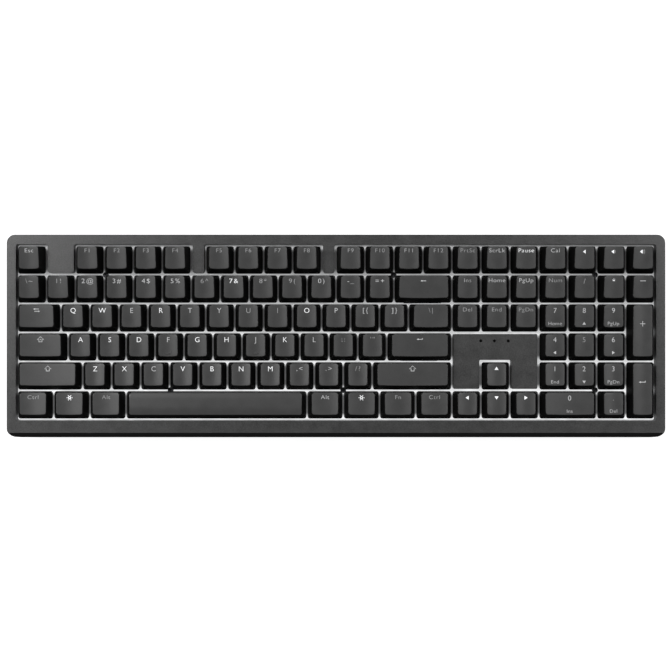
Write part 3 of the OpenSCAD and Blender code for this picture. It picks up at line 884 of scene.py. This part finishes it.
def keycap_mesh(form):
    """The cap's points, its faces and the finish of each face."""
    columns, levels = grid_of(form)
    rim = rim_points(columns, levels)
    n = len(rim)
    points, faces, finishes = [], [], []

    def top_at(c, v, inset):
        z = form.front
        for _ in range(3):
            x, y = rim_place(form, c, v, z, inset)
            z = form.top(x, y)
        return x, y, z

    def join(a, b, finish, at_back=None):
        """Walls between two rings. The back, between its corners, may differ."""
        for i in range(n):
            j = (i + 1) % n
            faces.append((a + i, a + j, b + j, b + i))
            back = all(v == levels and ARC <= c <= columns - ARC for c, v in (rim[i], rim[j]))
            finishes.append(finish if at_back is None or not back else at_back)

    def ring(place):
        points.extend(place(c, v) for c, v in rim)
        return len(points) - n

    def level_ring(z, *shape):
        return ring(lambda c, v: (*rim_place(form, c, v, z, *shape), z))

    inner_top = level_ring(form.ceiling, WALL, INNER_CORNER)
    inner_low = level_ring(0, WALL, INNER_CORNER)
    lip = level_ring(0, LIP)
    skirt = level_ring(LIP)
    faces.append(tuple(reversed(range(inner_top, inner_top + n))))
    finishes.append(INSIDE_FACE)
    join(inner_top, inner_low, INSIDE_FACE)
    join(inner_low, lip, INSIDE_FACE)
    join(lip, skirt, SHADED_WALL_FACE)
    last = skirt
    for step in range(ROUND_STEPS):
        turn = math.radians(90 * step / ROUND_STEPS)
        inset = EDGE_ROUND * (1 - math.cos(turn))
        drop = EDGE_ROUND * (1 - math.sin(turn))

        def rounded(c, v):
            z = top_at(c, v, inset)[2] - drop
            return (*rim_place(form, c, v, z, inset), z)

        this = ring(rounded)
        join(last, this, SHADED_WALL_FACE, TOP_FACE if step else SHADED_WALL_FACE)
        last = this
    place = {}
    for c in range(columns + 1):
        ends = top_at(c, 0, EDGE_ROUND), top_at(c, levels, EDGE_ROUND)
        for v in range(levels + 1):
            share = v / levels
            x = ends[0][0] * (1 - share) + ends[1][0] * share
            y = ends[0][1] * (1 - share) + ends[1][1] * share
            place[c, v] = len(points)
            points.append((x, y, form.top(x, y)))
    inside = [place[c, v] for c, v in rim]
    for i in range(n):
        j = (i + 1) % n
        faces.append((last + i, last + j, inside[j], inside[i]))
        finishes.append(TOP_FACE)
    for c in range(columns):
        for v in range(levels):
            faces.append((place[c, v], place[c + 1, v], place[c + 1, v + 1],
                          place[c, v + 1]))
            finishes.append(TOP_FACE)
    return points, faces, finishes


points, faces, finishes = keycap_mesh(letter)
print("a letter cap has", len(points), "points and", len(faces), "faces")

# %% [markdown]
# ## Under the cap
#
# Under each keycap hang one or three posts that grip the crosses of the switch and of the
# stabilisers. They are simple tubes with a closed end in the ceiling. The F and J caps
# carry a small bar near the front edge that the fingers find without looking.

# %% Posts and homing bars
POST_RADIUS, POST_LOW, POST_IN_CEILING = 2.75, 0.35, 0.3
WIDE_REACH, SPACE_REACH = 11.9, 50
BAR_Y, BAR_HALF, BAR_RADIUS, BAR_PROUD = -4.2, 2.0, 0.45, 0.02
BAR_ENDS = [(-1, 0.05), (-0.97, 0.6), (-0.85, 1.0), (0.85, 1.0), (0.97, 0.6), (1, 0.05)]


def circle(radius, sides):
    return [(radius * math.cos(2 * math.pi * i / sides),
             radius * math.sin(2 * math.pi * i / sides)) for i in range(sides)]


def add_rod(cap, rings, finish):
    """Adds a closed rod to a cap's points, faces and finishes: rings joined by walls."""
    points, faces, finishes = cap
    sides = len(rings[0])
    start = len(points)
    for ring in rings:
        points.extend(ring)
    last = len(points) - sides
    for low in range(start, last, sides):
        for i in range(sides):
            j = (i + 1) % sides
            faces.append((low + i, low + j, low + sides + j, low + sides + i))
    faces.append(tuple(start + i for i in reversed(range(sides))))
    faces.append(tuple(last + i for i in range(sides)))
    finishes.extend([finish] * (len(faces) - len(finishes)))


def add_post(cap, x, y, high):
    add_rod(cap, [[(x + a, y + b, z) for a, b in circle(POST_RADIUS, 20)]
                  for z in (POST_LOW, high)], INSIDE_FACE)


def add_homing_bar(cap, form):
    """A bar with rounded ends, half sunk in the dish."""
    rings = []
    for share, size in BAR_ENDS:
        x = share * BAR_HALF
        middle = form.top(x, BAR_Y) + BAR_PROUD
        rings.append([(x, BAR_Y + a, middle + b) for a, b in circle(size * BAR_RADIUS, 10)])
    add_rod(cap, rings, TOP_FACE)


def post_places(k):
    reach = WIDE_REACH if k["width"] < 3 else SPACE_REACH
    if k["height"] > 1:
        return [(0, 0), (0, -reach), (0, reach)]
    if k["width"] >= 2:
        return [(0, 0), (-reach, 0), (reach, 0)]
    return [(0, 0)]


# %% Build every keycap
MAP_MARGIN = 2


def put_on_key(prefix, k, points, faces, finishes, materials):
    """A mesh piece from points in millimetres over a key's skirt, riding on its body."""
    mesh = bpy.data.meshes.new(prefix + k["name"])
    over_skirt = Vector((k["x"], k["y"], SKIRT))
    mesh.from_pydata([deck @ (Vector(p) + over_skirt) for p in points], [], faces)
    piece = new_object(mesh.name, mesh)
    clothe(piece, *materials)
    mesh.polygons.foreach_set("material_index", finishes)
    mesh.update()
    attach(piece, k["body"])
    return piece


def map_top(piece, points, form):
    """The key_map: 0 to 1 across and along the top of the cap."""
    layer = piece.data.uv_layers.new(name="key_map")
    corners = np.empty(len(piece.data.loops), int)
    piece.data.loops.foreach_get("vertex_index", corners)
    flat = np.array(points)[corners][:, :2]
    spread = flat / (2 * np.array([form.x - SIDE_LEAN, form.y - MAP_MARGIN])) + 0.5
    layer.data.foreach_set("uv", spread.astype(np.float32).ravel())


for k in KEYS:
    form = CapForm(k["width"], k["height"], k["row"])
    shape = keycap_mesh(form)
    for x, y in post_places(k):
        add_post(shape, x, y, form.ceiling + POST_IN_CEILING)
    if k["name"] in ("f", "j"):
        add_homing_bar(shape, form)
    cap = put_on_key("cap_", k, *shape, (cap_top, cap_wall, cap_inside))
    map_top(cap, shape[0], form)
    smooth_faces(cap, 50)
    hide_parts(k["body"])
    k.update(form=form, cap=cap)
low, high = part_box("space_bar")
space = next(k["cap"] for k in KEYS if k["name"] == "space")
print("the space bar's width differs from the design by",
      round((space.dimensions.x - (high - low).x) / MM, 3), "mm")

# %% [markdown]
# ## Sliders
#
# Each key also moves a slider: the part of the switch that carries the cross under the
# cap, and on wide keys one more at each stabiliser. The design has the right shapes, as
# separate solids beside the cap in the same part. They are the ones that start lowest, so
# the connected shells are split and the sliders kept.

# %% Sliders out of the designed keys
CAP_START = SKIRT - 0.5


def shells_of(shape):
    """The separate closed shells, each as a list of corners."""
    seen, shells = set(), []
    for seed in shape.verts:
        if seed in seen:
            continue
        group, todo = [], [seed]
        seen.add(seed)
        while todo:
            v = todo.pop()
            group.append(v)
            for edge in v.link_edges:
                other = edge.other_vert(v)
                if other not in seen:
                    seen.add(other)
                    todo.append(other)
        shells.append(group)
    return shells


slider_count = 0
for body in sorted({k["body"] for k in KEYS}):
    shape = welded(body)
    shells = shells_of(shape)
    caps = [shell for shell in shells if min((to_deck @ v.co).z for v in shell) > CAP_START]
    slider_count += len(shells) - len(caps)
    bmesh.ops.delete(shape, geom=sum(caps, []), context="VERTS")
    sliders = as_piece(shape, "sliders_" + body)
    clothe(sliders, switch_black)
    smooth_faces(sliders)
    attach(sliders, body)
print("kept", slider_count, "sliders")

# %% [markdown]
# ## Drawing the legends
#
# Legends are flat shapes with a little depth, sunk into the cap so that only a hair of
# them stands proud. Letters come from Blender's own plain font. Arrows, speakers and other
# signs are drawn as strokes of even width or as filled shapes, in millimetres round
# their middle. The two keys beside the space bar carry a plain ring inside a circle of dots
# rather than any maker's sign.

# %% Flat shapes: letters
CAPITAL = 0.682
THINNER = -0.035


def word_shape(text, cap_height, spacing, stretch):
    """Points and faces of a line of text, centred, with capitals of a height.

    In the plain font at size 1 a capital is CAPITAL high, and THINNER slims its strokes.
    """
    line = bpy.data.curves.new("line", "FONT")
    line.body = text
    line.align_x = "CENTER"
    line.space_character = spacing
    line.resolution_u = 4
    line.size = cap_height / CAPITAL
    line.offset = THINNER
    holder = new_object("line", line)
    flat = bpy.data.meshes.new_from_object(
        holder.evaluated_get(bpy.context.evaluated_depsgraph_get()))
    shape = bmesh.new()
    shape.from_mesh(flat)
    bmesh.ops.remove_doubles(shape, verts=shape.verts, dist=1e-4)
    points = [(v.co.x * stretch, v.co.y - cap_height / 2) for v in shape.verts]
    faces = [tuple(v.index for v in f.verts) for f in shape.faces]
    shape.free()
    bpy.data.objects.remove(holder)
    bpy.data.meshes.remove(flat)
    bpy.data.curves.remove(line)
    return points, faces


# %% Flat shapes: strokes and filled signs
def stroke(path, width=0.42, closed=False):
    """A ribbon of even width along a path, with mitred corners."""
    n = len(path)
    left, right = [], []
    for i, (x, y) in enumerate(path):
        before = path[i - 1] if i > 0 or closed else None
        after = path[(i + 1) % n] if i < n - 1 or closed else None
        normals = []
        for a, b in ((before, (x, y)), ((x, y), after)):
            if a is not None and b is not None:
                dx, dy = b[0] - a[0], b[1] - a[1]
                size = math.hypot(dx, dy)
                normals.append((-dy / size, dx / size))
        nx = sum(v[0] for v in normals) / len(normals)
        ny = sum(v[1] for v in normals) / len(normals)
        reach = width / 2 / max(0.4, nx * nx + ny * ny)
        left.append((x + nx * reach, y + ny * reach))
        right.append((x - nx * reach, y - ny * reach))
    steps = range(n if closed else n - 1)
    faces = [(n + i, n + (i + 1) % n, (i + 1) % n, i) for i in steps]
    return left + right, faces


def filled(path):
    """A filled outline, counter-clockwise."""
    return list(path), [tuple(range(len(path)))]


def arc(x, y, r, start, end, steps=10):
    return [(x + r * math.cos(math.radians(start + (end - start) * i / steps)),
             y + r * math.sin(math.radians(start + (end - start) * i / steps)))
            for i in range(steps + 1)]


def together(*shapes):
    points, faces = [], []
    for p, f in shapes:
        faces.extend(tuple(i + len(points) for i in face) for face in f)
        points.extend(p)
    return points, faces


def turned(shape, angle):
    c, s = math.cos(math.radians(angle)), math.sin(math.radians(angle))
    points = [(x * c - y * s, x * s + y * c) for x, y in shape[0]]
    return points, shape[1]


def scaled(shape, by):
    return [(x * by, y * by) for x, y in shape[0]], shape[1]


def moved(shape, x, y):
    return [(px + x, py + y) for px, py in shape[0]], shape[1]


# %% The signs
TRIANGLE = filled([(-1.3, -0.9), (1.3, -0.9), (0, 1.2)])
ARROW_LEFT = together(stroke([(-1.6, 0), (1.6, 0)]),
                      filled([(-2.1, 0), (-0.9, -0.6), (-0.9, 0.6)]))
ENTER_ARROW = together(ARROW_LEFT, stroke([(1.6, -0.21), (1.6, 0.8)]))
LOUDSPEAKER = filled([(-1.1, 0), (0.7, -1.3), (0.7, 1.3)])
RING = together(stroke(arc(0, 0, 0.75, 0, 342, 19), 0.55, closed=True),
                *[filled(arc(x, y, 0.3, 0, 324, 9)) for x, y in arc(0, 0, 1.6, 0, 300, 5)])
OPEN_ARROW = stroke([(0, 1.7), (2.2, -0.2), (1.0, -0.2), (1.0, -1.6), (-1.0, -1.6),
                     (-1.0, -0.2), (-2.2, -0.2)], 0.36, closed=True)
SIGNS = {
    "<up>": TRIANGLE, "<down>": turned(TRIANGLE, 180),
    "<left>": turned(TRIANGLE, 90), "<right>": turned(TRIANGLE, 270),
    "<back>": ARROW_LEFT,
    "<enter>": ENTER_ARROW, "<return>": scaled(ENTER_ARROW, 1.15),
    "<tab>": together(moved(ARROW_LEFT, -0.1, 0.75), moved(turned(ARROW_LEFT, 180), 0.1, -0.75)),
    "<shift>": OPEN_ARROW, "<caps>": together(OPEN_ARROW, filled(arc(0, -0.1, 0.35, 0, 324, 9))),
    "<plus>": together(stroke([(-1.7, 0), (1.7, 0)], 0.36), stroke([(0, 0.18), (0, 1.7)], 0.36),
                       stroke([(0, -1.7), (0, -0.18)], 0.36)),
    "<minus>": stroke([(-1.8, 0), (1.8, 0)]),
    "<ring>": RING,
    "<speaker>": LOUDSPEAKER, "<speaker1>": moved(LOUDSPEAKER, -0.5, 0),
    "<speaker2>": moved(LOUDSPEAKER, -1.0, 0),
}
print(len(SIGNS), "signs")

# %% [markdown]
# ## Inlaying the legends
#
# An inlay is made from a flat shape: its points go up to the cap's surface and a hair
# more, copies of them go a quarter of a millimetre down, and walls join the two along the
# shape's outline, which is every side that only one face has.

# %% Inlay a flat shape into a cap
PROUD, SUNK = 0.02, 0.25


def inlay(shape, form, x, y):
    """A closed solid that fills the shape at a place in the cap's top."""
    flat, faces = shape
    n = len(flat)
    top = [(px + x, py + y, form.top(px + x, py + y) + PROUD) for px, py in flat]
    low = [(px, py, pz - PROUD - SUNK) for px, py, pz in top]
    count = {}
    for face in faces:
        for a, b in zip(face, face[1:] + face[:1]):
            count[a, b] = count.get((a, b), 0) + 1
    walls = [(b, a, a + n, b + n) for a, b in count if (b, a) not in count]
    under = [tuple(i + n for i in reversed(face)) for face in faces]
    return top + low, list(faces) + under + walls


BRIGHT = set("q w r o s d a g h k z x v b n m seven pad_star "
             "pause mute softer louder arrow_up arrow_down arrow_left arrow_right "
             "menu_left menu_right".split())
DIM = set("i u one f1 f2 f3 f4 f5 f6 f7 f8 f9 f10 f11 f12 print_screen insert delete end "
          "page_down fn ctrl_left ctrl_right alt_left pad_slash pad_5 nine backslash "
          "semicolon quote slash pad_point num_lock six eight tilde".split())


def legend_finish(name):
    return "bright" if name in BRIGHT else "dim" if name in DIM else "even"


# Capital height, spacing and stretch of each kind of legend
LETTER, PAIR = (3.2, 1.05, 1.0), (2.9, 0.85, 1.15)
WORD, SMALL_WORD = (2.5, 1.1, 1.15), (2.15, 1.05, 1.12)
# How far the middle of a legend lies from the top's back edge
LETTER_BACK, PAIR_BACK, WORD_BACK, TOP_WORD_BACK = 3.6, 3.4, 3.0, 2.6
SIGN_BACK, TALL_SIGN_BACK = 3.4, 12.3


def first_legend(k):
    """The main legend's shape and its distance from the top's back edge."""
    text = k["legend"]
    if text in SIGNS:
        return SIGNS[text], TALL_SIGN_BACK if k["height"] > 1 else SIGN_BACK
    if text[0].isalpha() and len(text) > 1:
        return word_shape(text, *WORD), TOP_WORD_BACK if k["row"] == 0 else WORD_BACK
    if len(text) == 2:
        return word_shape(" ".join(text), *PAIR), PAIR_BACK
    return word_shape(text, *LETTER), LETTER_BACK


def second_legend(text):
    return scaled(SIGNS[text], 0.85) if text in SIGNS else word_shape(text, *SMALL_WORD)


WAVES = [stroke(arc(0.2, 0, r, -48, 48), 0.3) for r in (1.3, 1.95)]
SOUND = {"<speaker1>": moved(WAVES[0], -0.5, 0), "<speaker2>": moved(together(*WAVES), -1.0, 0)}
SECOND_FRONT = 2.5
legends = 0
for k in KEYS:
    if not k["legend"]:
        continue
    form = k["form"]
    shape, back = first_legend(k)
    parts = [(*inlay(shape, form, 0, form.top_back - back), legend_finish(k["name"]))]
    if k["second"]:
        small = second_legend(k["second"])
        parts.append((*inlay(small, form, 0, form.top_front + SECOND_FRONT), "even"))
    if k["legend"] in SOUND:
        parts.append((*inlay(SOUND[k["legend"]], form, 0, form.top_back - back), "dim"))
    used = list(dict.fromkeys(level for _, _, level in parts))
    points, faces = together(*[part[:2] for part in parts])
    finishes = [used.index(level) for _, walls, level in parts for _ in walls]
    put_on_key("legend_", k, points, faces, finishes, [LEGENDS[level] for level in used])
    legends += 1
print("inlaid the legends of", legends, "keys")

# %% [markdown]
# ## Studio
#
# A plain pale floor and three soft boxes. The strongest hangs to the left and the second to
# the right, each where its sheen runs over its own end of the case, so that the charcoal is
# darkest in the middle, and the dishes of the keys show a soft upright sheen. A low box at
# the back draws the back walls. The floor is lit like a light table: bright to the eye, but
# throwing little light back up, so that the walls stay black. From below it is open, which
# lets the underside be looked at. It lies a foot's length under the desk's plane, so that
# the feet stay in sight when they are folded out.

# %% Floor
FLOOR_HALF = 6.0
FLOOR_DROP = 0.017


def join_shaders(tree, kind, *inputs):
    made = add(tree, kind)
    for socket, value in zip(made.inputs, inputs):
        feed(tree, socket, value)
    return made.outputs["Shader"]


def build_floor():
    material, tree, shader = new_finish("floor_white")
    tree.nodes.remove(shader)
    pale = add(tree, "BsdfDiffuse", Color=grey(0.5)).outputs["BSDF"]
    dark = add(tree, "BsdfDiffuse", Color=grey(0.06)).outputs["BSDF"]
    table = add(tree, "Emission", Color=grey(1.0), Strength=0.92).outputs["Emission"]
    open_below = add(tree, "BsdfTransparent").outputs["BSDF"]
    seen = add(tree, "LightPath").outputs["Is Camera Ray"]
    behind = add(tree, "NewGeometry").outputs["Backfacing"]
    above = join_shaders(tree, "MixShader", seen, dark,
                         join_shaders(tree, "AddShader", pale, table))
    fill(tree, tree.nodes["Material Output"],
         Surface=join_shaders(tree, "MixShader", behind, above, open_below))
    return material


floor_mesh = bpy.data.meshes.new("floor")
floor_mesh.from_pydata([(x * FLOOR_HALF, y * FLOOR_HALF, -FLOOR_DROP)
                        for x, y in ((-1, -1), (1, -1), (1, 1), (-1, 1))], [], [(0, 1, 2, 3)])
floor = new_object("floor", floor_mesh)
clothe(floor, build_floor())


# %% Lamps and sky
def soft_box(name, at, size, power):
    """A rectangular lamp that looks at the middle of the keyboard."""
    lamp = bpy.data.lights.new(name, "AREA")
    lamp.shape = "RECTANGLE"
    lamp.size, lamp.size_y = size
    lamp.energy = power
    holder = new_object(name, lamp)
    holder.location = at
    holder.rotation_euler = (-Vector(at)).to_track_quat("-Z", "Y").to_euler()
    holder.visible_camera = False


soft_box("left_box", (-0.92, 0.22, 1.45), (0.35, 0.8), 12.5)
soft_box("right_box", (0.9, 0.2, 1.35), (0.22, 0.7), 6.0)
soft_box("back_box", (-0.2, 1.3, 0.3), (1.2, 0.4), 5.0)

sky = bpy.data.worlds.new("sky")
scene.world = sky
sky.use_nodes = True
tree = sky.node_tree
tree.nodes.clear()
seen = add(tree, "LightPath").outputs["Is Camera Ray"]
ground = add(tree, "Background", Color=grey(1.0), Strength=remap(tree, seen, 0, 1, 0.23))
add(tree, "OutputWorld", Surface=ground.outputs["Background"])
